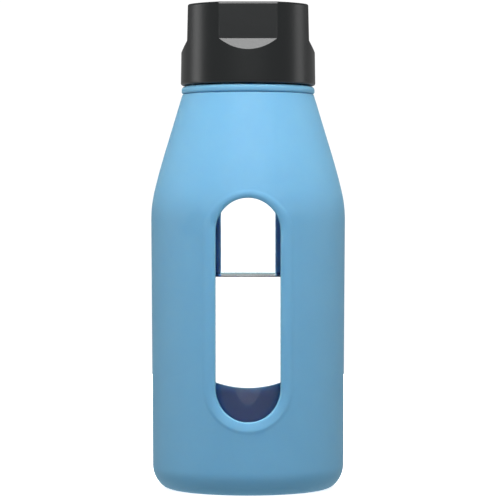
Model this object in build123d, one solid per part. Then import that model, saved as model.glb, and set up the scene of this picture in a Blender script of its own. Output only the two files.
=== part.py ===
"""Glass water bottle: a glass bottle in a silicone sleeve, closed by a two-piece screw cap.

It stands on its foot with the origin on the axis, Z up and the front window toward -Y. Sizes are mm.
Each section below is half a turned shape, drawn with the radius along X and the height along Z.
"""

import os
from math import atan2, cos, degrees, radians, sin, tan

from build123d import *

# Overall sizes
overall_height = 190.0
body_base_radius = 37.57  # body wall, carried straight down to the floor

# Body outline
wall_lean = 0.37  # degrees that the wall opens out as it rises
cone_angle = 16.85  # degrees of the upper shoulder from upright
knuckle_angle = 13.5  # degrees of the short stretch between wall and cone
knuckle_drop = 2.7  # how far it starts below the corner of wall and cone
knuckle_radius = 48.0
shoulder_radius = 240.0
heel_width = 7.0
heel_angle = 45.0
heel_low_radius = 5.3
heel_high_radius = 10.6

# Sleeve
sleeve_wall = 2.2
sleeve_fit = 0.1  # between sleeve and glass, all round
collar_height = 3.6
collar_setback = 0.32  # collar inside the cap's rim
collar_round = 1.5
crease_depth = 0.3  # cone inside the collar where the two meet
crease_height = 0.35  # cone edge above the bottom of the collar
foot_ring_width = 5.0
foot_recess = 0.7

# Sleeve windows, each a slot with round ends and a raised rim with a sunk inner edge
front_window_half = 12.75
front_window_bottom = 28.5
front_window_top = 0.0  # above the corner of wall and cone
rear_window_half = 12.2
rear_window_bottom = 38.1
rear_window_top = 6.5
rim_width = 3.4
rim_height = 0.5
rim_edge_width = 1.5
rim_edge_depth = 0.5

# Glass
glass_wall = 3.2
glass_base = 5.5
base_corner_radius = 9.0
punt_radius = 24.0
punt_rise = 1.8
ledge_angle = 65.0  # degrees of the ledge below the neck from upright
ledge_round = 1.5
root_round = 1.2
bore_ledge_angle = 55.0
bore_ledge_drop = 1.2
bore_ledge_round = 3.0
bore_root_round = 2.0
neck_radius = 21.0
neck_root_drop = 1.2  # foot of the neck below the top of the sleeve
neck_height = 16.3  # lip above the top of the sleeve
finish_step = 0.6  # plain rim inside the neck
finish_height = 2.5
lip_round = 1.2

# Thread
thread_starts = 2
thread_lead = 8.0
thread_bottom = 2.4  # lower end of the glass thread above the top of the sleeve
thread_height = 10.0
thread_radius = 1.3  # round section of the glass thread
thread_fit = 0.3  # glass thread to the liner's bore
rib_fit = 0.4  # liner's ribs to the neck
rib_gap = 0.35  # along the axis, between the crests of rib and thread
rib_play = 0.16  # closed cap: ribs pulled up from midway by this
rib_flank = 0.35  # rib wider at its root on each side
rib_margin = 0.2  # ribs from the ends of the liner's bore

# Cap
cap_height = 31.4
cap_gap = 0.4  # shell above the sleeve
cap_taper = 0.46  # top radius under bottom radius
cap_wall = 2.2
cap_top_wall = 2.6
flat_count = 4
flat_depth = 2.73  # foot of a flat inside the cap's bottom radius
flat_taper = 0.33  # top of a flat inside its foot
flat_height = 17.1  # foot of a flat above the cap's bottom edge
ledge_width = 2.32  # the ledge under each flat slopes out by this
ledge_depth = 3.9  # and down by this
cap_edge_round = 1.0
cap_rim_round = 0.9
flat_edge_round = 0.6

# Liner and gasket
liner_fit = 0.1
liner_inset = 0.8  # liner above the shell's bottom edge
skirt_wall = 1.66
throat_fit = 0.8  # liner above its bore to the glass rim
throat_gap = 0.5  # end of the bore above the glass thread
liner_disc = 2.4
gasket_overhang = 0.1  # past the glass rim outside
gasket_lap = 1.2  # past the glass bore inside
gasket_thickness = 1.8
gasket_fit = 0.15
gasket_gap = 0.05  # gasket above the glass lip
snap_height = 4.5  # snap bead above the liner's bottom edge
snap_radius = 0.45
post_radius = 15.0  # stiffening ring under the top of the shell
post_wall = 1.6

# Radii that follow
finish_radius = neck_radius - finish_step
bore_radius = neck_radius - glass_wall
liner_bore_radius = neck_radius + thread_radius + thread_fit
liner_throat_radius = finish_radius + throat_fit
rib_crest_radius = neck_radius + rib_fit
rib_crest_half = thread_lead / thread_starts / 2 - thread_radius - rib_gap
rib_root_half = rib_crest_half + rib_flank
rib_shift = thread_lead / thread_starts / 2 - rib_play
gasket_outer = finish_radius + gasket_overhang
gasket_inner = bore_radius - gasket_lap
cap_bottom_radius = liner_bore_radius + skirt_wall + liner_fit + cap_wall
flat_foot = cap_bottom_radius - flat_depth
collar_radius = cap_bottom_radius - collar_setback
crease_radius = collar_radius - crease_depth
glass_inset = sleeve_wall + sleeve_fit
cavity_inset = glass_inset + glass_wall
cavity_floor = sleeve_wall + glass_base

# Heights that follow
cap_bottom = overall_height - cap_height
sleeve_top = cap_bottom - cap_gap
collar_bottom = sleeve_top - collar_height
neck_root = sleeve_top - neck_root_drop
lip_top = sleeve_top + neck_height
finish_bottom = lip_top - finish_height
thread_start = sleeve_top + thread_bottom
ledge_top = cap_bottom + flat_height
liner_bottom = cap_bottom + liner_inset
throat_bottom = thread_start + thread_height + thread_radius + throat_gap
gasket_bottom = lip_top + gasket_gap
gasket_top = gasket_bottom + gasket_thickness
liner_top = gasket_top + liner_disc
reach = 4 * body_base_radius  # long enough to cut right past the bottle


def meet(first, second):
    """Point where two lines cross; a line is (radius, height, heading in degrees)."""
    r1, z1, a1 = first
    r2, z2, a2 = second
    u1, v1 = cos(radians(a1)), sin(radians(a1))
    u2, v2 = cos(radians(a2)), sin(radians(a2))
    step = ((r2 - r1) * v2 - (z2 - z1) * u2) / (u1 * v2 - v1 * u2)
    return r1 + step * u1, z1 + step * v1


def inset(line, distance):
    """The same line moved square to itself, toward the axis."""
    r, z, heading = line
    return r - distance * sin(radians(heading)), z + distance * cos(radians(heading)), heading


# Lines that the outside of the sleeve follows from foot to collar
foot_radius = body_base_radius - heel_width
heel_line = (foot_radius + heel_low_radius * tan(radians(heel_angle / 2)), 0, heel_angle)
wall_line = (body_base_radius, 0, 90 - wall_lean)
cone_line = (crease_radius, collar_bottom + crease_height, 90 + cone_angle)
shoulder_corner = meet(wall_line, cone_line)
knuckle_line = (shoulder_corner[0], shoulder_corner[1] - knuckle_drop, 90 + knuckle_angle)


def turned(points, radii):
    """Solid turned from a closed outline of points with a round at each."""
    outline = FilletPolyline(*[(r, 0, z) for r, z in points], radius=radii, close=True)
    return revolve(make_face(outline.edges()), Axis.Z)


def disc(radius, bottom, top):
    return Pos(0, 0, (bottom + top) / 2) * Cylinder(radius, top - bottom)


def ring(outer, inner, bottom, top):
    return disc(outer, bottom, top) - disc(inner, bottom, top)


def shoulder_points(distance):
    """Corners of wall, knuckle and cone at a distance inside the outer surface, with their rounds."""
    wall, knuckle, cone = (inset(line, distance) for line in (wall_line, knuckle_line, cone_line))
    points = [meet(wall, knuckle), meet(knuckle, cone)]
    return points, [knuckle_radius - distance, shoulder_radius - distance]


def body_form(distance, floor):
    """Corners of heel, shoulder and all between, with their rounds."""
    heel, wall = inset(heel_line, distance), inset(wall_line, distance)
    points, radii = shoulder_points(distance)
    points = [meet((0, floor, 0), heel), meet(heel, wall)] + points
    return points, [heel_low_radius - distance, heel_high_radius - distance] + radii


def sleeve_skin(proud=0.0):
    """Outer form of the sleeve, without its collar."""
    points, radii = body_form(-proud, 0.0)
    cone = inset(cone_line, -proud)
    edge = meet(cone, (0, collar_bottom + crease_height, 0))
    points = [(0, 0)] + points + [edge, (0, edge[1])]
    return turned(points, [0] + radii + [0, 0])


def glass_form(grow, top):
    """Outer form of the glass up to a height, grown by a clearance on every side but the base."""
    distance = glass_inset - grow
    points, radii = body_form(distance, sleeve_wall)
    cone = inset(cone_line, distance)
    ledge = inset((neck_radius, neck_root, 90 + ledge_angle), -grow)
    neck = (neck_radius + grow, 0, 90)
    points = [(0, sleeve_wall)] + points + [meet(cone, ledge), meet(ledge, neck)]
    points += [(neck_radius + grow, top), (0, top)]
    return turned(points, [0] + radii + [ledge_round + grow, root_round - grow, 0, 0])


def dome(radius, rise, height):
    """Shallow spherical cap standing on a plane."""
    ball = (radius**2 + rise**2) / (2 * rise)
    whole = Pos(0, 0, height + rise - ball) * Sphere(ball)
    return whole & disc(radius, height, height + 2 * rise)


def make_glass():
    outside = glass_form(0, finish_bottom)
    rim = turned(
        [
            (0, finish_bottom),
            (neck_radius, finish_bottom),
            (finish_radius, finish_bottom + finish_step),
            (finish_radius, lip_top),
            (0, lip_top),
        ],
        [0, 0, 0, lip_round, 0],
    )
    points, radii = shoulder_points(cavity_inset)
    wall, cone = inset(wall_line, cavity_inset), inset(cone_line, cavity_inset)
    ledge = (bore_radius, neck_root - bore_ledge_drop, 90 + bore_ledge_angle)
    bore = (bore_radius, 0, 90)
    points = [(0, cavity_floor), meet((0, cavity_floor, 0), wall)] + points
    points += [meet(cone, ledge), meet(ledge, bore), (bore_radius, lip_top), (0, lip_top)]
    rounds = [0, base_corner_radius] + radii + [bore_ledge_round, bore_root_round, 0, 0]
    cavity = turned(points, rounds) - dome(punt_radius, punt_rise, cavity_floor)
    glass = outside + rim - cavity - dome(punt_radius, punt_rise, sleeve_wall)
    for start in range(thread_starts):
        glass += Rot(0, 0, start * 360 / thread_starts) * glass_thread()
    return glass


def glass_thread():
    """One start of the thread: a round cord wound on the neck, with ball ends."""
    path = Pos(0, 0, thread_start) * Helix(thread_lead, thread_height, neck_radius)
    section = Plane(path @ 0, z_dir=path % 0) * Circle(thread_radius)
    cord = sweep(section, path, is_frenet=True)
    for end in (0, 1):
        cord += Pos(*(path @ end)) * Sphere(thread_radius)
    return cord


def window(half_width, bottom, top, side, border=0.0):
    """Slot with round ends and a border round it, from the axis out to one side (-1 front, 1 rear)."""
    length = top - bottom + 2 * border
    slot = SlotOverall(length, 2 * (half_width + border), rotation=90)
    return extrude(Plane.XZ * Pos(0, (bottom + top) / 2) * slot, -side * reach)


def make_sleeve():
    corner = shoulder_corner[1]
    windows = [
        (front_window_half, front_window_bottom, corner + front_window_top, -1),
        (rear_window_half, rear_window_bottom, corner + rear_window_top, 1),
    ]
    collar = turned(
        [
            (0, collar_bottom),
            (collar_radius, collar_bottom),
            (collar_radius, sleeve_top),
            (0, sleeve_top),
        ],
        [0, collar_round, collar_round, 0],
    )
    sleeve = sleeve_skin() + collar
    proud, sunk = sleeve_skin(rim_height), sleeve_skin(-rim_edge_depth)
    for shape in windows:
        sleeve += proud & window(*shape, rim_width)
    for shape in windows:
        sleeve -= window(*shape, rim_edge_width) - sunk
    sleeve -= glass_form(sleeve_fit, sleeve_top + collar_height)
    for shape in windows:
        sleeve -= window(*shape)
    return sleeve - disc(foot_radius - foot_ring_width, 0, foot_recess)


def upright(run, rise):
    """Heading of a line that climbs by rise while it comes in by run."""
    return 90 + degrees(atan2(run, rise))


def cap_radius(height):
    """Radius of the round cap body, which tapers a little to the top."""
    return cap_bottom_radius - cap_taper * (height - cap_bottom) / cap_height


def cap_form(distance, bottom, top):
    """Round cap body with its flats, at a distance inside the outer surface, between two heights."""
    low, high = cap_radius(bottom) - distance, cap_radius(top) - distance
    body = Pos(0, 0, (bottom + top) / 2) * Cone(low, high, top - bottom)
    face = inset((flat_foot, ledge_top, upright(flat_taper, cap_height - flat_height)), distance)
    ledge = inset((flat_foot, ledge_top, upright(ledge_width, ledge_depth)), distance)
    far = cap_bottom_radius + cap_height
    corners = [
        meet(face, (0, overall_height + cap_height, 0)),
        meet(face, ledge),
        meet(ledge, (far, 0, 90)),
        (far, overall_height + cap_height),
    ]
    notch = make_face(Polyline(*[(r, 0, z) for r, z in corners], close=True).edges())
    notch = extrude(notch, reach / 2, both=True)
    for side in range(flat_count):
        body -= Rot(0, 0, side * 360 / flat_count) * notch
    return body


def is_flat_corner(edge):
    """True for the upright edges at the two sides of each flat."""
    return edge.center().Z > ledge_top and abs(edge.tangent_at(0.5).Z) > 0.9


def make_shell():
    shell = cap_form(0, cap_bottom, overall_height)
    corners = [edge for edge in shell.edges() if is_flat_corner(edge)]
    shell = fillet(corners, flat_edge_round)
    shell = fillet(shell.faces().sort_by(Axis.Z)[-1].edges(), cap_edge_round)
    rim = shell.edges().filter_by(GeomType.CIRCLE).sort_by(Axis.Z)[0]
    shell = fillet(rim, cap_rim_round)
    shell -= cap_form(cap_wall, cap_bottom - cap_gap, overall_height - cap_top_wall)
    shell += ring(post_radius, post_radius - post_wall, liner_top, overall_height - cap_top_wall / 2)
    return shell - snap_bead(liner_fit)


def snap_bead(grow):
    """Bead round the liner that clicks into the shell."""
    height = liner_bottom + snap_height
    return Pos(0, 0, height) * Torus(cap_radius(height) - cap_wall - liner_fit, snap_radius + grow)


def make_liner():
    liner = cap_form(cap_wall + liner_fit, liner_bottom, liner_top) + snap_bead(0)
    liner -= disc(liner_bore_radius, liner_bottom - liner_inset, throat_bottom)
    liner -= disc(liner_throat_radius, throat_bottom - liner_inset, gasket_bottom)
    liner -= ring(gasket_outer + gasket_fit, gasket_inner - gasket_fit, gasket_bottom - gasket_thickness, gasket_top)
    for start in range(thread_starts):
        liner += Rot(0, 0, start * 360 / thread_starts) * liner_rib()
    return liner


def liner_rib():
    """One start of the liner's thread: a rib that narrows to its crest, in step with the glass thread."""
    low = liner_bottom + rib_root_half + rib_margin
    high = throat_bottom - rib_root_half - rib_margin
    turn = 360 * (low - thread_start + rib_shift) / thread_lead
    root = liner_bore_radius + liner_fit
    section = Polyline(
        (root, 0, low - rib_root_half),
        (rib_crest_radius, 0, low - rib_crest_half),
        (rib_crest_radius, 0, low + rib_crest_half),
        (root, 0, low + rib_root_half),
        close=True,
    )
    path = Pos(0, 0, low) * Helix(thread_lead, high - low, liner_bore_radius)
    return Rot(0, 0, turn) * sweep(make_face(section.edges()), path, is_frenet=True)


def make_gasket():
    return ring(gasket_outer, gasket_inner, gasket_bottom, gasket_top)


PIECES = {
    "glass_bottle": make_glass,
    "silicone_sleeve": make_sleeve,
    "cap_shell": make_shell,
    "cap_liner": make_liner,
    "cap_gasket": make_gasket,
}

os.makedirs("parts", exist_ok=True)
for name, make in PIECES.items():
    export_step(make(), f"parts/{name}.step")
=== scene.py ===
"""Looks of the glass water bottle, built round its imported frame: sleeve, glass, water, cap and studio.

Lengths inside the mesh code are in millimetres, as on the maker's drawing, and every mesh is scaled to metres
as it is made. Radii run from the bottle's axis and heights from the surface that it stands on.
"""

from math import acos, asin, atan2, cos, degrees, hypot, pi, radians, sin, sqrt, tan

import bmesh
import bpy
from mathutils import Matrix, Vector


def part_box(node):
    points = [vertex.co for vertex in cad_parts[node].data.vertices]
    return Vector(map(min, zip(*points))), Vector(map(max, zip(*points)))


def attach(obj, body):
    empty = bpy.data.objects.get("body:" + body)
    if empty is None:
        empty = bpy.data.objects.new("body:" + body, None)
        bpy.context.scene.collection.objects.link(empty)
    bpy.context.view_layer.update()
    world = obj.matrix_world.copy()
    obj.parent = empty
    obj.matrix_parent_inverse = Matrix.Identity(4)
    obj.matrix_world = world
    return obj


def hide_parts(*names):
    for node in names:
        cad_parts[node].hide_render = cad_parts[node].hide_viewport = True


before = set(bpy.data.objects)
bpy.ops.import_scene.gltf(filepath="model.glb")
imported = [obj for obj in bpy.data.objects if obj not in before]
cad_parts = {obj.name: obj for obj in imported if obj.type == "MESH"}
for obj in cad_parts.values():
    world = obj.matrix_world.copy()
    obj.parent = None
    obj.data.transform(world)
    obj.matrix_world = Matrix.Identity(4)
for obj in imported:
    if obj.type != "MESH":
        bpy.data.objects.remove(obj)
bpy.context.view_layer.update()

bl_info = {
    "name": "Glass water bottle",
    "version": (1, 0, 0),
    "blender": (4, 5, 0),
    "location": "3D View > Sidebar > Bottle",
    "description": "Builds a glass bottle with a silicone sleeve, its water, its screw cap and a studio",
    "category": "Object",
}

MM = 0.001


def node_top(node):
    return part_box(node)[1].z / MM


# Body outline, the same drawing that the sleeve and the glass follow
SLEEVE_TOP = node_top("silicone_sleeve")
BASE_RADIUS = 37.57
WALL_LEAN = 0.37
CONE_ANGLE = 16.85
KNUCKLE_ANGLE = 13.5
KNUCKLE_DROP = 2.7
KNUCKLE_ROUND = 48.0
SHOULDER_ROUND = 240.0
HEEL_ANGLE = 45.0
HEEL_WIDTH = 7.0
HEEL_LOW_ROUND = 5.3
HEEL_HIGH_ROUND = 10.6

# Sleeve
SLEEVE_WALL = 2.2
SLEEVE_FIT = 0.1
COLLAR_HEIGHT = 3.6
COLLAR_RADIUS = 26.24
COLLAR_ROUND = 1.5
COLLAR_LOW_ROUND = 0.9
COLLAR_TOP_ROUND = 0.4  # inner edge of the collar's top
CREASE_RADIUS = 25.94
CREASE_HEIGHT = 0.35
CREASE_ROUND = 0.25
CREASE_SINK = 1.0  # bottom of the groove under the collar, inside the collar
FOOT_RING = 5.0
FOOT_RECESS = 0.7
FOOT_RECESS_ROUND = 0.4
FOOT_EDGE_ROUND = 0.3

# Sleeve windows and the rim round each
FRONT_BOTTOM = 28.5
FRONT_TOP = 0.0  # above the corner of wall and cone
REAR_BOTTOM = 38.1
REAR_TOP = 6.5
RIM_CREST = 3.3  # from the window's edge to the top of its rim
RIM_FLANK = 1.5  # outside of the rim, from its top to the sleeve's surface
EDGE_ROUND = 0.35
RIM_TOP_FADE = 0.55  # part of the rim's height that is gone at the very top of a window
RIM_TOP_NARROW = 0.28  # part of the rim's width that is gone there
BEVEL_BOTTOM = 1.15  # power that the fall of the bevel follows at the bottom of a window, nearly straight
BEVEL_SIDE = 2.2  # and up its sides and round its top, where it curls inward

# Glass
LIP_TOP = node_top("glass_bottle")
GLASS_WALL = 3.2
GLASS_BASE = 5.5
NECK_RADIUS = 21.0
NECK_ROOT_DROP = 1.2
LEDGE_ANGLE = 65.0
LEDGE_ROUND = 1.5
ROOT_ROUND = 1.2
BORE_RADIUS = NECK_RADIUS - GLASS_WALL
BORE_LEDGE_ANGLE = 55.0
BORE_LEDGE_DROP = 1.2
BORE_LEDGE_ROUND = 3.0
BORE_ROOT_ROUND = 2.0
PUNT_RADIUS = 24.0
PUNT_RISE = 1.8
BASE_ZONE = 20.0  # below this, and within the punt's radius, the punt takes an outline's place
CAVITY_DEPTH = SLEEVE_WALL + SLEEVE_FIT + GLASS_WALL
CAVITY_FLOOR = SLEEVE_WALL + GLASS_BASE
CAVITY_CORNER = 9.0
FINISH_STEP = 0.6
FINISH_HEIGHT = 2.5
LIP_ROUND = 1.2
THREAD_STARTS = 2
THREAD_LEAD = 8.0
THREAD_HEIGHT = 10.0
THREAD_RADIUS = 1.3
THREAD_START = SLEEVE_TOP + 2.4
THREAD_MARGIN = 0.2  # finely divided neck past each end of the thread
THREAD_STEP = 0.16

# Water
WATER_LAP = 0.15  # water into the glass, so that light passes straight from one to the other
CLIMB_WIDTH = 1.2  # ring at the glass in which the water climbs
CLIMB_STEPS = 12
CLIMB_POWER = 2.4
SURFACE_MARGIN = 0.05  # faces higher than the level less this are the water's surface

# How finely the pieces are divided
COLUMNS = 240  # round the glass and the water
SLEEVE_STEP = 3.0
GLASS_STEP = 4.0
COLLAR_STEP = 2.5
WELD = 1e-4  # points nearer than this are joined
COLUMNS_FACE = 32  # columns across the face that holds a window, and across each side
FACE_HALF = 45.0  # degrees either side of the window's middle
BAND_BOTTOM = 14.0
BAND_TOP = 134.0
BAND_GAP = 0.2  # between the band and the last point of the foot's outline
ROWS_END = 16  # rows beyond each end of a window's straight sides
ROWS_SIDE = 60  # rows along the straight sides
MORPH_ROWS = 10  # loops between the rim and the edge of the face

# Studio
FLOOR_RADIUS = 700.0
DIRECT_LEVEL = 1.05  # backdrop seen straight on
THROUGH_LEVEL = 1.45  # backdrop seen through the glass and the water


# ---------------------------------------------------------------- outlines


def meet(first, second):
    """Point where two lines cross; a line is (radius, height, heading in degrees)."""
    r1, z1, a1 = first
    r2, z2, a2 = second
    u1, v1 = cos(radians(a1)), sin(radians(a1))
    u2, v2 = cos(radians(a2)), sin(radians(a2))
    step = ((r2 - r1) * v2 - (z2 - z1) * u2) / (u1 * v2 - v1 * u2)
    return r1 + step * u1, z1 + step * v1


def inset(line, distance):
    """The same line moved square to itself, toward the axis."""
    r, z, heading = line
    return r - distance * sin(radians(heading)), z + distance * cos(radians(heading)), heading


HEEL_LINE = (BASE_RADIUS - HEEL_WIDTH + HEEL_LOW_ROUND * tan(radians(HEEL_ANGLE / 2)), 0.0, HEEL_ANGLE)
WALL_LINE = (BASE_RADIUS, 0.0, 90 - WALL_LEAN)
COLLAR_BOTTOM = SLEEVE_TOP - COLLAR_HEIGHT
CONE_LINE = (CREASE_RADIUS, COLLAR_BOTTOM + CREASE_HEIGHT, 90 + CONE_ANGLE)
CORNER = meet(WALL_LINE, CONE_LINE)
KNUCKLE_LINE = (CORNER[0], CORNER[1] - KNUCKLE_DROP, 90 + KNUCKLE_ANGLE)


def rounded(corners, turn=3.0):
    """Points of an outline, with each corner (radius, height, round) an arc of a point every few degrees."""
    points = []
    for i, (r, z, size) in enumerate(corners):
        if size <= 0 or i in (0, len(corners) - 1):
            points.append((r, z))
            continue
        here = Vector((r, z))
        back = (Vector(corners[i - 1][:2]) - here).normalized()
        ahead = (Vector(corners[i + 1][:2]) - here).normalized()
        half = acos(max(-1.0, min(1.0, back.dot(ahead)))) / 2
        centre = here + (back + ahead).normalized() * size / sin(half)
        start = here + back * size / tan(half) - centre
        end = here + ahead * size / tan(half) - centre
        sweep = atan2(start.x * end.y - start.y * end.x, start.dot(end))
        count = max(2, round(abs(degrees(sweep)) / turn))
        for k in range(count + 1):
            angle = sweep * k / count
            c, s = cos(angle), sin(angle)
            points.append((centre.x + start.x * c - start.y * s, centre.y + start.x * s + start.y * c))
    return points


def divided(points, step):
    """The outline with extra points, so that no two are further apart than step."""
    out = [points[0]]
    for (r1, z1), (r2, z2) in zip(points, points[1:]):
        count = max(1, int(hypot(r2 - r1, z2 - z1) / step + 0.999))
        out += [(r1 + (r2 - r1) * k / count, z1 + (z2 - z1) * k / count) for k in range(1, count + 1)]
    return out


def radius_at(points, height):
    """Radius of an outline at a height; the points climb all the way."""
    for (r1, z1), (r2, z2) in zip(points, points[1:]):
        if z1 <= height <= z2 and z2 > z1:
            return r1 + (r2 - r1) * (height - z1) / (z2 - z1)
    raise ValueError(f"the outline has no point at height {height:.1f}")


def body_corners(depth, floor):
    """Corners of the body at a depth inside the sleeve's surface, from its floor to the top of the cone."""
    heel, wall, knuckle, cone = (
        inset(line, depth) for line in (HEEL_LINE, WALL_LINE, KNUCKLE_LINE, CONE_LINE)
    )
    return [
        (*meet((0, floor, 0), heel), HEEL_LOW_ROUND - depth),
        (*meet(heel, wall), HEEL_HIGH_ROUND - depth),
        (*meet(wall, knuckle), KNUCKLE_ROUND - depth),
        (*meet(knuckle, cone), SHOULDER_ROUND - depth),
    ]


def glass_corners(grow):
    """Corners of the glass from its base to its neck, grown by a clearance."""
    depth = SLEEVE_WALL + SLEEVE_FIT - grow
    cone = inset(CONE_LINE, depth)
    ledge = inset((NECK_RADIUS, SLEEVE_TOP - NECK_ROOT_DROP, 90 + LEDGE_ANGLE), -grow)
    neck = (NECK_RADIUS + grow, 0, 90)
    return [
        (0, SLEEVE_WALL, 0),
        *body_corners(depth, SLEEVE_WALL),
        (*meet(cone, ledge), LEDGE_ROUND + grow),
        (*meet(ledge, neck), ROOT_ROUND - grow),
        (NECK_RADIUS + grow, SLEEVE_TOP + 1, 0),
    ]


def cavity_corners(lap):
    """Corners of the glass's inside from its floor to its bore, moved into the glass by a lap."""
    wall, knuckle, cone = (inset(line, CAVITY_DEPTH - lap) for line in (WALL_LINE, KNUCKLE_LINE, CONE_LINE))
    root = SLEEVE_TOP - NECK_ROOT_DROP - BORE_LEDGE_DROP
    ledge = inset((BORE_RADIUS, root, 90 + BORE_LEDGE_ANGLE), -lap)
    floor = (0, CAVITY_FLOOR - lap, 0)
    return [
        floor,
        (*meet(floor, wall), CAVITY_CORNER),
        (*meet(wall, knuckle), KNUCKLE_ROUND - CAVITY_DEPTH),
        (*meet(knuckle, cone), SHOULDER_ROUND - CAVITY_DEPTH),
        (*meet(cone, ledge), BORE_LEDGE_ROUND),
        (*meet(ledge, (BORE_RADIUS + lap, 0, 90)), BORE_ROOT_ROUND),
    ]


def punt(height, count=14):
    """Outline of the shallow dome in a glass base, from the axis out."""
    ball = (PUNT_RADIUS**2 + PUNT_RISE**2) / (2 * PUNT_RISE)
    radii = [PUNT_RADIUS * k / count for k in range(count)]
    return [(r, height + PUNT_RISE - ball + sqrt(ball**2 - r**2)) for r in radii]


# ---------------------------------------------------------------- meshes


class Shape:
    """Vertices and faces of one piece, in millimetres, gathered ring by ring."""

    def __init__(self):
        self.points = []
        self.faces = []

    def add(self, points):
        first = len(self.points)
        self.points += points
        return list(range(first, first + len(points)))

    def join(self, low, high):
        """Quads between two rings of as many points."""
        for i in range(len(low)):
            j = (i + 1) % len(low)
            self.faces.append((low[i], low[j], high[j], high[i]))

    def cap(self, row, point, flip=False):
        """Fan from a row to one point on the axis."""
        tip = self.add([point])[0]
        count = len(row)
        for i in range(count):
            a, b = row[i], row[(i + 1) % count]
            self.faces.append((b, a, tip) if flip else (a, b, tip))

    def finish(self, name, material):
        """The piece as a smooth-shaded Blender object in metres."""
        mesh = bpy.data.meshes.new(name)
        mesh.from_pydata([(x * MM, y * MM, z * MM) for x, y, z in self.points], [], self.faces)
        piece = bpy.data.objects.new(name, mesh)
        bpy.context.scene.collection.objects.link(piece)
        tidy_mesh(mesh)
        mesh.materials.append(material)
        return piece


def tidy_mesh(mesh):
    """Welds doubles, turns all faces outward and shades smooth, with creases kept sharp."""
    work = bmesh.new()
    work.from_mesh(mesh)
    bmesh.ops.remove_doubles(work, verts=work.verts, dist=WELD * MM)
    bmesh.ops.recalc_face_normals(work, faces=work.faces)
    work.to_mesh(mesh)
    work.free()
    mesh.shade_smooth()
    mesh.set_sharp_from_angle(angle=radians(50))


def ring_points(radius, height, columns, start=0.0):
    """Points of a level ring, from a start angle round."""
    return [
        (radius * cos(start + 2 * pi * k / columns), radius * sin(start + 2 * pi * k / columns), height)
        for k in range(columns)
    ]


def lathe(shape, points, columns):
    """Turned surface along an outline; points on the axis close it with a fan."""
    rows = []
    for r, z in points:
        rows.append(None if r < 1e-6 else shape.add(ring_points(r, z, columns)))
    for low, high, (_, z_low), (_, z_high) in zip(rows, rows[1:], points, points[1:]):
        if low is None:
            shape.cap(high, (0, 0, z_low), flip=True)
        elif high is None:
            shape.cap(low, (0, 0, z_high))
        else:
            shape.join(low, high)


# ---------------------------------------------------------------- sleeve


def smooth(t):
    """Eases from 0 to 1 as t goes from 0 to 1."""
    t = max(0.0, min(1.0, t))
    return t * t * (3 - 2 * t)


def slot_points(half, bottom, top, border):
    """Points round a slot with round ends, from its lower left corner up, as (across, height)."""
    across = half + border
    low, high = bottom + half, top - half
    count = 2 * ROWS_END + COLUMNS_FACE
    points = [(-across, low + (high - low) * k / ROWS_SIDE) for k in range(ROWS_SIDE)]
    points += [
        (-across * cos(pi * k / count), high + across * sin(pi * k / count)) for k in range(count)
    ]
    points += [(across, high - (high - low) * k / ROWS_SIDE) for k in range(ROWS_SIDE)]
    points += [
        (across * cos(pi * k / count), low - across * sin(pi * k / count)) for k in range(count)
    ]
    return points


def band_heights(low, high):
    """Heights of all rows of the band, with the straight sides of the front window between low and high."""
    below = [BAND_BOTTOM + (low - BAND_BOTTOM) * k / ROWS_END for k in range(ROWS_END)]
    beside = [low + (high - low) * k / ROWS_SIDE for k in range(ROWS_SIDE)]
    above = [high + (BAND_TOP - high) * k / ROWS_END for k in range(ROWS_END + 1)]
    return below + beside + above


def face_edge(heights):
    """Indices (column, row) of the face's edge in the same order as slot_points."""
    last = len(heights) - 1
    left = [(0, row) for row in range(ROWS_END, last)]
    top = [(column, last) for column in range(COLUMNS_FACE)]
    right = [(COLUMNS_FACE, row) for row in range(last, 0, -1)]
    bottom = [(column, 0) for column in range(COLUMNS_FACE, 0, -1)]
    left_low = [(0, row) for row in range(ROWS_END)]
    return left + top + right + bottom + left_low


def rim_offset(distance, height, sink, power):
    """How far the rim stands out of the sleeve's surface at a distance from the window's edge.

    The rim is a bevel that falls from its top to the window's rounded edge, with a soft flank outside.
    """
    if distance >= RIM_CREST:
        return height * (1 - smooth((distance - RIM_CREST) / RIM_FLANK))
    bevel = height - (height + sink) * (1 - distance / RIM_CREST) ** power
    if distance >= EDGE_ROUND:
        return bevel
    lean = 1 - distance / EDGE_ROUND
    return bevel - EDGE_ROUND * (1 - sqrt(max(0.0, 1 - lean * lean)))


def face_angle(column):
    """Angle round the bottle of a column of the band, of which the front face has the first ones."""
    return radians(-90 - FACE_HALF + column * 2 * FACE_HALF / COLUMNS_FACE)


def on_surface(outline, angle, height, offset=0.0):
    """Point on the surface turned from an outline, or an offset out of it."""
    radius = radius_at(outline, height) + offset
    return radius * cos(angle), radius * sin(angle), height


def rim_borders(relief):
    """Distances from a window's edge of the loops round it, closer together where the rim curves."""
    if relief is None:
        return [0.0, 0.4, 1.2, RIM_CREST + RIM_FLANK]
    borders = [0.0, 0.04, 0.1, 0.2, EDGE_ROUND]
    borders += [EDGE_ROUND + (RIM_CREST - EDGE_ROUND) * k / 10 for k in range(1, 11)]
    return borders + [RIM_CREST + RIM_FLANK * k / 6 for k in range(1, 7)]


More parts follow.
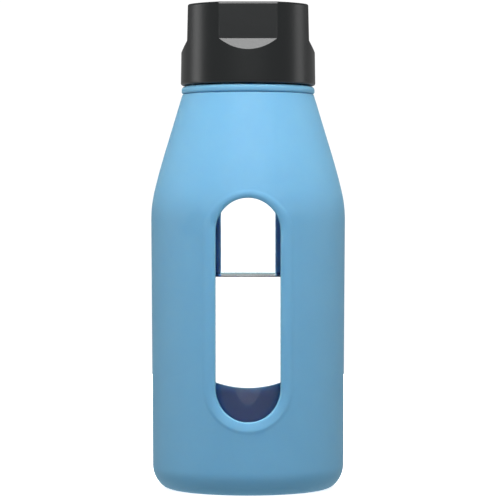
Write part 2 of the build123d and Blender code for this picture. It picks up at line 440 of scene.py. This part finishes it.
def rim_loop(outline, window, middle, border, relief):
    """Loop round a window, a border outside its edge, as points (angle, height, offset from the surface)."""
    half, bottom, top = window
    loop = []
    for (across, z), (edge_across, edge_z) in zip(slot_points(*window, border), slot_points(*window, 0)):
        high = smooth((edge_z - top + half) / half)
        low = smooth((bottom + half - edge_z) / half)
        across -= (across - edge_across) * RIM_TOP_NARROW * high
        z -= (z - edge_z) * RIM_TOP_NARROW * high
        offset = 0.0
        if relief:
            fade = 1 - RIM_TOP_FADE * high
            power = BEVEL_SIDE + (BEVEL_BOTTOM - BEVEL_SIDE) * low
            offset = rim_offset(border, relief[0] * fade, relief[1], power)
        loop.append((middle + asin(across / radius_at(outline, z)), z, offset))
    return loop


def loops_between(loop, marks):
    """Loops that change step by step from the outermost one of a rim to the marks on the edge of its face."""
    loops = []
    for k in range(1, MORPH_ROWS):
        t = k / MORPH_ROWS
        loops.append(
            [(a1 + (a2 - a1) * t, z1 + (z2 - z1) * t, 0.0) for (a1, z1, _), (a2, z2) in zip(loop, marks)]
        )
    return loops


def sleeve_band(shape, windows, heights, outline, relief):
    """One skin of the sleeve between its foot and its shoulder, with both windows in it.

    The relief is the height and the sink of the rims, or None for the inner skin. Returns the lowest and the
    highest row, all the way round, and the loop at the edge of each window.
    """
    last = len(heights) - 1
    total = 4 * COLUMNS_FACE
    grid = {}

    def vertex(column, row):
        key = (column % total, row)
        if key not in grid:
            grid[key] = shape.add([on_surface(outline, face_angle(column), heights[row])])[0]
        return grid[key]

    for side in (1, 3):
        for column in range(side * COLUMNS_FACE, (side + 1) * COLUMNS_FACE):
            for row in range(last):
                corners = [(column, row), (column + 1, row), (column + 1, row + 1), (column, row + 1)]
                shape.faces.append(tuple(vertex(*c) for c in corners))

    edges = []
    for face, window in zip((0, 2), windows):
        middle = radians(-90 + 90 * face)
        cells = [(face * COLUMNS_FACE + column, row) for column, row in face_edge(heights)]
        marks = [(face_angle(column), heights[row]) for column, row in cells]
        loops = [rim_loop(outline, window, middle, border, relief) for border in rim_borders(relief)]
        loops += loops_between(loops[-1], marks)
        rows = [shape.add([on_surface(outline, *point) for point in loop]) for loop in loops]
        rows.append([vertex(*cell) for cell in cells])
        for low, high in zip(rows, rows[1:]):
            shape.join(low, high)
        edges.append(rows[0])
    bottom = [vertex(column, 0) for column in range(total)]
    top = [vertex(column, last) for column in range(total)]
    return bottom, top, edges


def band_ring(radius, height):
    """Ring whose points line up with the columns of the band."""
    return ring_points(radius, height, 4 * COLUMNS_FACE, radians(-90 - FACE_HALF))


def close_band(shape, points, row):
    """Surface from the axis out along an outline to the lowest row of a band."""
    before = None
    for r, z in points:
        if r < 1e-6:
            tip = z
            continue
        here = shape.add(band_ring(r, z))
        if before is None:
            shape.cap(here, (0, 0, tip), flip=True)
        else:
            shape.join(before, here)
        before = here
    shape.join(before, row)


def close_ends(shape, points, first, last):
    """Surface along an outline from one row to another."""
    before = first
    for r, z in points:
        here = shape.add(band_ring(r, z))
        shape.join(before, here)
        before = here
    shape.join(before, last)


def sleeve_mesh(settings, material):
    """The sleeve: an outer and an inner skin, joined round the windows and at the collar, and a foot."""
    shape = Shape()
    front = (settings.front_half / MM, FRONT_BOTTOM, CORNER[1] + FRONT_TOP)
    rear = (settings.rear_half / MM, REAR_BOTTOM, CORNER[1] + REAR_TOP)
    heights = band_heights(front[1] + front[0], front[2] - front[0])
    crease = (CREASE_RADIUS, CONE_LINE[1])
    outer = rounded([(0, 0, 0), *body_corners(0, 0), (*crease, 0)], turn=1.0)
    inner = rounded(glass_corners(SLEEVE_FIT), turn=1.0)
    relief = (settings.rim_height / MM, settings.rim_sink / MM)
    out_low, out_high, out_edges = sleeve_band(shape, (front, rear), heights, outer, relief)
    in_low, in_high, in_edges = sleeve_band(shape, (front, rear), heights, inner, None)
    for a, b in zip(out_edges, in_edges):
        shape.join(a, b)

    foot_radius = BASE_RADIUS - HEEL_WIDTH - FOOT_RING
    foot = [
        (0, FOOT_RECESS, 0),
        (foot_radius, FOOT_RECESS, FOOT_RECESS_ROUND),
        (foot_radius, 0, FOOT_EDGE_ROUND),
        *body_corners(0, 0)[:3],
        (*crease, 0),
    ]
    below = [p for p in divided(rounded(foot), SLEEVE_STEP) if p[1] < BAND_BOTTOM - BAND_GAP]
    close_band(shape, below, out_low)

    neck = NECK_RADIUS + SLEEVE_FIT
    inner_ledge = glass_corners(SLEEVE_FIT)[6:4:-1]
    collar = [
        (*meet(CONE_LINE, (0, BAND_TOP, 0)), 0),
        (*crease, CREASE_ROUND),
        (COLLAR_RADIUS - CREASE_SINK, COLLAR_BOTTOM + CREASE_SINK / 2, 0),
        (COLLAR_RADIUS, COLLAR_BOTTOM + CREASE_SINK, COLLAR_LOW_ROUND),
        (COLLAR_RADIUS, SLEEVE_TOP, COLLAR_ROUND),
        (neck, SLEEVE_TOP, COLLAR_TOP_ROUND),
        *inner_ledge,
        (*meet(inset(CONE_LINE, SLEEVE_WALL), (0, BAND_TOP, 0)), 0),
    ]
    top = divided(rounded(collar), COLLAR_STEP)
    close_ends(shape, top[1:-1], out_high, in_high)

    floor = [p for p in divided(inner, SLEEVE_STEP) if p[1] < BAND_BOTTOM - BAND_GAP]
    close_band(shape, floor, in_low)
    return shape.finish("sleeve", material)


# ---------------------------------------------------------------- glass and water


def thread_offset(angle, height):
    """How far the thread stands out of the neck, as a round cord with ball ends wound on it."""
    full = 2 * pi * THREAD_HEIGHT / THREAD_LEAD
    best = 0.0
    for start in range(THREAD_STARTS):
        first = (angle - start * 2 * pi / THREAD_STARTS) % (2 * pi)
        for wind in range(-1, int(full / (2 * pi)) + 2):
            turn = first + wind * 2 * pi
            near = max(0.0, min(full, turn))
            beside = NECK_RADIUS * (turn - near)
            above = height - THREAD_START - THREAD_LEAD * near / (2 * pi)
            best = max(best, THREAD_RADIUS**2 - beside**2 - above**2)
    return sqrt(best)


def glass_mesh(material):
    """The glass, turned in one piece, with its thread raised on the neck."""
    shape = Shape()
    low = THREAD_START - THREAD_RADIUS - THREAD_MARGIN
    high = THREAD_START + THREAD_HEIGHT + THREAD_RADIUS + THREAD_MARGIN
    finish_bottom = LIP_TOP - FINISH_HEIGHT
    below = divided(rounded(glass_corners(0)[:-1] + [(NECK_RADIUS, low, 0)]), GLASS_STEP)
    below = [point for point in below if point[0] > PUNT_RADIUS or point[1] > BASE_ZONE]
    lathe(shape, punt(SLEEVE_WALL) + [(PUNT_RADIUS, SLEEVE_WALL)] + below, COLUMNS)
    before = None
    for _, z in divided([below[-1], (NECK_RADIUS, high)], THREAD_STEP):
        row = []
        for k in range(COLUMNS):
            angle = 2 * pi * k / COLUMNS
            radius = NECK_RADIUS + thread_offset(angle, z)
            row.append((radius * cos(angle), radius * sin(angle), z))
        row = shape.add(row)
        if before:
            shape.join(before, row)
        before = row
    inside = [
        (NECK_RADIUS, high, 0),
        (NECK_RADIUS, finish_bottom, 0),
        (NECK_RADIUS - FINISH_STEP, finish_bottom + FINISH_STEP, 0),
        (NECK_RADIUS - FINISH_STEP, LIP_TOP, LIP_ROUND),
        (BORE_RADIUS, LIP_TOP, LIP_ROUND),
        *reversed(cavity_corners(0)),
    ]
    inside = divided(rounded(inside), GLASS_STEP)
    inside = [point for point in inside if point[0] > PUNT_RADIUS or point[1] > BASE_ZONE]
    lathe(shape, inside + [(PUNT_RADIUS, CAVITY_FLOOR)] + punt(CAVITY_FLOOR)[::-1], COLUMNS)
    return shape.finish("glass", material)


def water_mesh(settings, body, surface):
    """The water, with its surface and its climb at the glass in a deeper tint than its body, as painted shade
    for the dark line at the waterline.
    """
    shape = Shape()
    level, climb = settings.level / MM, settings.climb / MM
    wall = inset(WALL_LINE, CAVITY_DEPTH - WATER_LAP)
    edge = meet(wall, (0, level + climb, 0))
    sides = divided(rounded([*cavity_corners(WATER_LAP)[:2], (*edge, 0)]), GLASS_STEP)
    sides = [point for point in sides if point[0] > PUNT_RADIUS]
    outline = punt(CAVITY_FLOOR - WATER_LAP) + [(PUNT_RADIUS, CAVITY_FLOOR - WATER_LAP)] + sides
    for k in range(1, CLIMB_STEPS + 1):
        t = k / CLIMB_STEPS
        outline.append((edge[0] - CLIMB_WIDTH * t, level + climb * (1 - t) ** CLIMB_POWER))
    outline += [((edge[0] - CLIMB_WIDTH) * k / 6, level) for k in range(5, -1, -1)]
    lathe(shape, outline, COLUMNS)
    water = shape.finish("water", body)
    water.data.materials.append(surface)
    # faces of the surface and the climb take the darker tinted copy of the water: painted shade for the
    # waterline's dark line
    for face in water.data.polygons:
        if face.center.z > (level - SURFACE_MARGIN) * MM:
            face.material_index = 1
    return water


# ---------------------------------------------------------------- finishes


def new_material(name):
    """A material with its node tree and its shader."""
    material = bpy.data.materials.new(name)
    material.use_nodes = True
    shader = material.node_tree.nodes["Principled BSDF"]
    return material, material.node_tree, shader


def noise(tree, scale, detail=2.0, stretch=(1, 1, 1)):
    """Noise over the piece's own coordinates; scale is in grains a metre."""
    place = tree.nodes.new("ShaderNodeTexCoord")
    spread = tree.nodes.new("ShaderNodeMapping")
    spread.inputs["Scale"].default_value = stretch
    grain = tree.nodes.new("ShaderNodeTexNoise")
    grain.inputs["Scale"].default_value = scale
    grain.inputs["Detail"].default_value = detail
    tree.links.new(place.outputs["Object"], spread.inputs["Vector"])
    tree.links.new(spread.outputs["Vector"], grain.inputs["Vector"])
    return grain.outputs["Fac"]


def vary(tree, source, low, high, start=0):
    """Maps a value from start to 1 to a range."""
    remap = tree.nodes.new("ShaderNodeMapRange")
    remap.inputs["From Min"].default_value = start
    remap.inputs["To Min"].default_value = low
    remap.inputs["To Max"].default_value = high
    tree.links.new(source, remap.inputs["Value"])
    return remap.outputs["Result"]


def tint(tree, source, colour, light, shader):
    """Base colour that wanders a little in brightness."""
    mix = tree.nodes.new("ShaderNodeMix")
    mix.data_type = "RGBA"
    mix.inputs["A"].default_value = (*[c * (1 - light) for c in colour], 1)
    mix.inputs["B"].default_value = (*[min(1, c * (1 + light)) for c in colour], 1)
    tree.links.new(source, mix.inputs["Factor"])
    tree.links.new(mix.outputs["Result"], shader.inputs["Base Color"])


def bump(tree, source, depth, shader):
    """Relief of a depth in metres."""
    relief = tree.nodes.new("ShaderNodeBump")
    relief.inputs["Strength"].default_value = 1.0
    relief.inputs["Distance"].default_value = depth
    tree.links.new(source, relief.inputs["Height"])
    tree.links.new(relief.outputs["Normal"], shader.inputs["Normal"])


def silicone_material(settings):
    """Matt silicone that light goes a few millimetres into."""
    material, tree, shader = new_material("sleeve_silicone")
    tint(tree, noise(tree, 60, 4), settings.colour, 0.03, shader)
    tree.links.new(
        vary(tree, noise(tree, 900, 3), settings.roughness - 0.05, settings.roughness + 0.05),
        shader.inputs["Roughness"],
    )
    bump(tree, noise(tree, 2500, 3), 0.00003, shader)
    shader.inputs["IOR"].default_value = 1.41
    shader.inputs["Subsurface Weight"].default_value = 1.0
    shader.inputs["Subsurface Radius"].default_value = (1.0, 1.0, 1.0)
    shader.inputs["Subsurface Scale"].default_value = 0.003
    shader.inputs["Specular IOR Level"].default_value = 0.25
    return material


def glass_material(settings):
    """Clear glass with the faint waves and haze of a blown bottle."""
    material, tree, shader = new_material("bottle_glass")
    tint(tree, noise(tree, 25), settings.colour, 0.004, shader)
    tree.links.new(vary(tree, noise(tree, 300, 3), 0.0, settings.haze), shader.inputs["Roughness"])
    bump(tree, noise(tree, 45, 1, (1, 1, 0.4)), settings.waves, shader)
    shader.inputs["IOR"].default_value = 1.5
    shader.inputs["Transmission Weight"].default_value = 1.0
    return material


def water_material(name, colour, ripple, roughness):
    """Still water, with a ripple too small to see but for the glints."""
    material, tree, shader = new_material(name)
    tint(tree, noise(tree, 20), colour, 0.004, shader)
    tree.links.new(vary(tree, noise(tree, 200), 0.0, roughness), shader.inputs["Roughness"])
    bump(tree, noise(tree, 60, 1), ripple, shader)
    shader.inputs["Specular Tint"].default_value = (*colour, 1)
    shader.inputs["IOR"].default_value = 1.333
    shader.inputs["Transmission Weight"].default_value = 1.0
    return material


def plastic_material(name, colour, roughness):
    """Moulded plastic or rubber with a fine grain."""
    material, tree, shader = new_material(name)
    tint(tree, noise(tree, 80, 3), colour, 0.05, shader)
    tree.links.new(
        vary(tree, noise(tree, 1500, 3), roughness - 0.04, roughness + 0.04), shader.inputs["Roughness"]
    )
    bump(tree, noise(tree, 3500, 2), 0.00002, shader)
    shader.inputs["IOR"].default_value = 1.49
    return material


def finish_node(node, material):
    """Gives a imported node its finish."""
    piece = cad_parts[node]
    piece.data.materials.clear()
    piece.data.materials.append(material)
    piece.data.shade_smooth()
    piece.data.set_sharp_from_angle(angle=radians(35))


# ---------------------------------------------------------------- studio


def make_floor():
    """Pale disc that the bottle stands on, kept out of reflections and of what shows through the glass."""
    shape = Shape()
    lathe(shape, [(0, 0), (FLOOR_RADIUS, 0)], 96)
    material, tree, shader = new_material("floor")
    shader.inputs["Base Color"].default_value = (0.9, 0.9, 0.9, 1)
    shader.inputs["Roughness"].default_value = 0.9
    shader.inputs["Emission Color"].default_value = (1, 1, 1, 1)
    shader.inputs["Emission Strength"].default_value = 0.8
    floor = shape.finish("floor", material)
    floor.visible_diffuse = False
    floor.visible_glossy = False
    floor.visible_transmission = False


def combine(tree, operation, first, second):
    """One sum or comparison of two node values, or of a value and a number."""
    node = tree.nodes.new("ShaderNodeMath")
    node.operation = operation
    tree.links.new(first, node.inputs[0])
    if isinstance(second, float):
        node.inputs[1].default_value = second
    else:
        tree.links.new(second, node.inputs[1])
    return node.outputs[0]


def make_world(scene, studio):
    """White where it is seen directly or through the glass, and a dim dome as a light and in reflections."""
    world = bpy.data.worlds.new("studio")
    scene.world = world
    world.use_nodes = True
    tree = world.node_tree
    place = tree.nodes.new("ShaderNodeTexCoord")
    split = tree.nodes.new("ShaderNodeSeparateXYZ")
    tree.links.new(place.outputs["Generated"], split.inputs["Vector"])
    dome = vary(tree, split.outputs["Z"], studio.dome_low, studio.dome_high, -1)
    path = tree.nodes.new("ShaderNodeLightPath")
    turns = combine(tree, "ADD", path.outputs["Diffuse Depth"], path.outputs["Glossy Depth"])
    clear = combine(tree, "LESS_THAN", turns, 0.5)
    through = combine(tree, "MULTIPLY", clear, path.outputs["Is Transmission Ray"])
    seen = combine(tree, "ADD", path.outputs["Is Camera Ray"], through)
    bright = vary(tree, through, DIRECT_LEVEL, THROUGH_LEVEL)
    level = tree.nodes.new("ShaderNodeMix")
    tree.links.new(seen, level.inputs["Factor"])
    tree.links.new(dome, level.inputs["A"])
    tree.links.new(bright, level.inputs["B"])
    tree.links.new(level.outputs["Result"], tree.nodes["Background"].inputs["Strength"])
    tree.nodes["Background"].inputs["Color"].default_value = (1, 1, 1, 1)


def area_light(name, place, target, size, energy):
    """Soft box at a place, facing a target; size is its width and height in metres."""
    light = bpy.data.lights.new(name, "AREA")
    light.shape = "RECTANGLE"
    light.size, light.size_y = size
    light.energy = energy
    lamp = bpy.data.objects.new(name, light)
    lamp.location = place
    lamp.rotation_mode = "QUATERNION"
    lamp.rotation_quaternion = (Vector(target) - Vector(place)).to_track_quat("-Z", "Y")
    bpy.context.scene.collection.objects.link(lamp)
    return lamp


def make_lights(studio):
    """Two soft boxes in front and above, a strip on each side, and a light behind that isn't seen itself."""
    middle = (0, 0, 0.1)
    area_light("near", (0, -0.35, 0.5), middle, (0.4, 0.4), studio.near)
    area_light("high", (0, -0.25, 1.1), middle, (0.8, 0.8), studio.high)
    area_light("left", (-0.9, 0.12, 0.12), middle, (0.3, 0.9), studio.left)
    area_light("right", (0.9, 0.12, 0.12), middle, (0.3, 0.9), studio.right)
    back = area_light("back", (0, 0.8, 0.15), middle, (0.3, 0.3), studio.back)
    back.visible_camera = False
    back.visible_transmission = False
    back.visible_glossy = False


def make_camera(scene):
    """Long lens a metre in front, a little above the middle of the bottle and tipped down."""
    lens = bpy.data.cameras.new("camera")
    lens.lens = 180
    lens.sensor_width = 36
    lens.clip_start, lens.clip_end = 0.01, 100
    camera = bpy.data.objects.new("camera", lens)
    scene.collection.objects.link(camera)
    camera.location = (0.00075, -0.988, 0.108)
    camera.rotation_euler = (radians(90 - 0.825), 0, 0)
    scene.camera = camera


# ---------------------------------------------------------------- settings


class BottleSleeveSettings(bpy.types.PropertyGroup):
    """Sizes and finish of the silicone sleeve."""

    colour: bpy.props.FloatVectorProperty(
        name="Silicone",
        description="Colour of the moulded silicone",
        subtype="COLOR",
        size=3,
        min=0,
        max=1,
        default=(0.18, 0.43, 0.64),
    )
    roughness: bpy.props.FloatProperty(
        name="Roughness",
        description="How matt the silicone is",
        subtype="FACTOR",
        min=0,
        max=1,
        default=0.5,
    )
    rim_height: bpy.props.FloatProperty(
        name="Rim height",
        description="How far the rim of a window stands out",
        unit="LENGTH",
        default=0.22 * MM,
    )
    rim_sink: bpy.props.FloatProperty(
        name="Rim sink",
        description="How far the inner edge of a window lies below the sleeve's surface",
        unit="LENGTH",
        default=0.85 * MM,
    )
    front_half: bpy.props.FloatProperty(
        name="Front window half width",
        description="Half the width of the front window",
        unit="LENGTH",
        default=12.75 * MM,
    )
    rear_half: bpy.props.FloatProperty(
        name="Rear window half width",
        description="Half the width of the rear window",
        unit="LENGTH",
        default=12.2 * MM,
    )


class BottleGlassSettings(bpy.types.PropertyGroup):
    """Finish of the glass."""

    colour: bpy.props.FloatVectorProperty(
        name="Glass",
        description="Tint of the clear glass",
        subtype="COLOR",
        size=3,
        min=0,
        max=1,
        default=(0.996, 0.996, 0.996),
    )
    haze: bpy.props.FloatProperty(
        name="Haze",
        description="Greatest roughness of the glass",
        subtype="FACTOR",
        min=0,
        max=1,
        default=0.012,
    )
    waves: bpy.props.FloatProperty(
        name="Waves",
        description="Depth of the waves that blowing leaves in the glass",
        unit="LENGTH",
        default=0.01 * MM,
    )


class BottleWaterSettings(bpy.types.PropertyGroup):
    """Level and tints of the water."""

    level: bpy.props.FloatProperty(
        name="Level",
        description="Height of the water's surface",
        unit="LENGTH",
        default=83.9 * MM,
    )
    climb: bpy.props.FloatProperty(
        name="Climb",
        description="How far the water climbs where it meets the glass",
        unit="LENGTH",
        default=0.3 * MM,
    )
    colour: bpy.props.FloatVectorProperty(
        name="Water",
        description="Tint of the body of the water",
        subtype="COLOR",
        size=3,
        min=0,
        max=1,
        default=(0.996, 0.996, 0.996),
    )
    # the surface's deeper tint is painted shade, standing in for the dark line where the water meets the
    # glass
    surface_painted_shade: bpy.props.FloatVectorProperty(
        name="Surface",
        description="Tint of the water's surface, which is seen nearly edge on",
        subtype="COLOR",
        size=3,
        min=0,
        max=1,
        default=(0.2, 0.45, 0.52),
    )


class BottleCapSettings(bpy.types.PropertyGroup):
    """Colours and finish of the cap's pieces."""

    shell_colour: bpy.props.FloatVectorProperty(
        name="Shell",
        description="Colour of the outer moulding",
        subtype="COLOR",
        size=3,
        min=0,
        max=1,
        default=(0.009, 0.0105, 0.011),
    )
    liner_colour: bpy.props.FloatVectorProperty(
        name="Liner",
        description="Colour of the threaded moulding inside",
        subtype="COLOR",
        size=3,
        min=0,
        max=1,
        default=(0.05, 0.052, 0.055),
    )
    gasket_colour: bpy.props.FloatVectorProperty(
        name="Gasket",
        description="Colour of the sealing ring",
        subtype="COLOR",
        size=3,
        min=0,
        max=1,
        default=(0.7, 0.72, 0.7),
    )
    roughness: bpy.props.FloatProperty(
        name="Shell roughness",
        description="How matt the outer moulding is",
        subtype="FACTOR",
        min=0,
        max=1,
        default=0.3,
    )


class BottleStudioSettings(bpy.types.PropertyGroup):
    """Strengths of the studio's lights."""

    near: bpy.props.FloatProperty(
        name="Near", description="Power of the soft box above the front", unit="POWER", default=2.4
    )
    high: bpy.props.FloatProperty(
        name="High", description="Power of the soft box overhead", unit="POWER", default=11.2
    )
    left: bpy.props.FloatProperty(
        name="Left", description="Power of the strip on the left", unit="POWER", default=1.9
    )
    right: bpy.props.FloatProperty(
        name="Right", description="Power of the strip on the right", unit="POWER", default=1.3
    )
    back: bpy.props.FloatProperty(
        name="Back",
        description="Power of the light behind, which shines through the silicone",
        unit="POWER",
        default=10.5,
    )
    dome_low: bpy.props.FloatProperty(
        name="Dome, low", description="Strength of the dome straight below", subtype="FACTOR", default=0.7
    )
    dome_high: bpy.props.FloatProperty(
        name="Dome, high", description="Strength of the dome straight above", subtype="FACTOR", default=0.0
    )


# ---------------------------------------------------------------- operators


class BOTTLE_OT_sleeve(bpy.types.Operator):
    """Build the silicone sleeve with its rimmed windows"""

    bl_idname = "bottle.sleeve"
    bl_label = "Silicone sleeve"

    def execute(self, context):
        settings = context.scene.bottle_sleeve
        sleeve = sleeve_mesh(settings, silicone_material(settings))
        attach(sleeve, "bottle")
        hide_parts("silicone_sleeve")
        return {"FINISHED"}


class BOTTLE_OT_glass(bpy.types.Operator):
    """Build the clear glass bottle with its threaded neck"""

    bl_idname = "bottle.glass"
    bl_label = "Glass bottle"

    def execute(self, context):
        glass = glass_mesh(glass_material(context.scene.bottle_glass))
        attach(glass, "bottle")
        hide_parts("glass_bottle")
        return {"FINISHED"}


class BOTTLE_OT_water(bpy.types.Operator):
    """Fill the bottle part of the way with water"""

    bl_idname = "bottle.water"
    bl_label = "Water"

    def execute(self, context):
        settings = context.scene.bottle_water
        body = water_material("water", settings.colour, 0.005 * MM, 0.01)
        # the surface material is a darker tinted copy of the water: painted shade at the waterline
        surface = water_material("water_surface_painted_shade", settings.surface_painted_shade, 0.02 * MM, 0.01)
        water = water_mesh(settings, body, surface)
        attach(water, "bottle")
        return {"FINISHED"}


class BOTTLE_OT_cap(bpy.types.Operator):
    """Finish the cap's shell, liner and gasket"""

    bl_idname = "bottle.cap"
    bl_label = "Cap"

    def execute(self, context):
        cap = context.scene.bottle_cap
        finish_node("cap_shell", plastic_material("cap_plastic", cap.shell_colour, cap.roughness))
        finish_node("cap_liner", plastic_material("liner_plastic", cap.liner_colour, cap.roughness + 0.1))
        finish_node("cap_gasket", plastic_material("gasket_silicone", cap.gasket_colour, 0.5))
        return {"FINISHED"}


class BOTTLE_OT_stage(bpy.types.Operator):
    """Set up the floor, the soft lights and the camera"""

    bl_idname = "bottle.stage"
    bl_label = "Studio"

    def execute(self, context):
        studio = context.scene.bottle_studio
        make_floor()
        make_world(context.scene, studio)
        make_lights(studio)
        make_camera(context.scene)
        context.scene.view_settings.view_transform = "Standard"
        return {"FINISHED"}


OPERATORS = (
    BOTTLE_OT_sleeve,
    BOTTLE_OT_glass,
    BOTTLE_OT_water,
    BOTTLE_OT_cap,
    BOTTLE_OT_stage,
)
SETTINGS = {
    "bottle_sleeve": BottleSleeveSettings,
    "bottle_glass": BottleGlassSettings,
    "bottle_water": BottleWaterSettings,
    "bottle_cap": BottleCapSettings,
    "bottle_studio": BottleStudioSettings,
}


class BOTTLE_PT_panel(bpy.types.Panel):
    """Sidebar panel with the bottle's settings and one button for each piece"""

    bl_idname = "BOTTLE_PT_panel"
    bl_label = "Glass water bottle"
    bl_space_type = "VIEW_3D"
    bl_region_type = "UI"
    bl_category = "Bottle"

    def draw(self, context):
        layout = self.layout
        for group in SETTINGS:
            settings = getattr(context.scene, group)
            for name in settings.__annotations__:
                layout.prop(settings, name)
        for operator in OPERATORS:
            layout.operator(operator.bl_idname)


CLASSES = (*SETTINGS.values(), *OPERATORS, BOTTLE_PT_panel)


def register():
    for cls in CLASSES:
        bpy.utils.register_class(cls)
    for group, settings in SETTINGS.items():
        setattr(bpy.types.Scene, group, bpy.props.PointerProperty(type=settings))


def unregister():
    for group in SETTINGS:
        delattr(bpy.types.Scene, group)
    for cls in reversed(CLASSES):
        bpy.utils.unregister_class(cls)


def main():
    register()
    for operator in OPERATORS:
        group, name = operator.bl_idname.split(".")
        getattr(getattr(bpy.ops, group), name)()


if __name__ == "__main__":
    main()
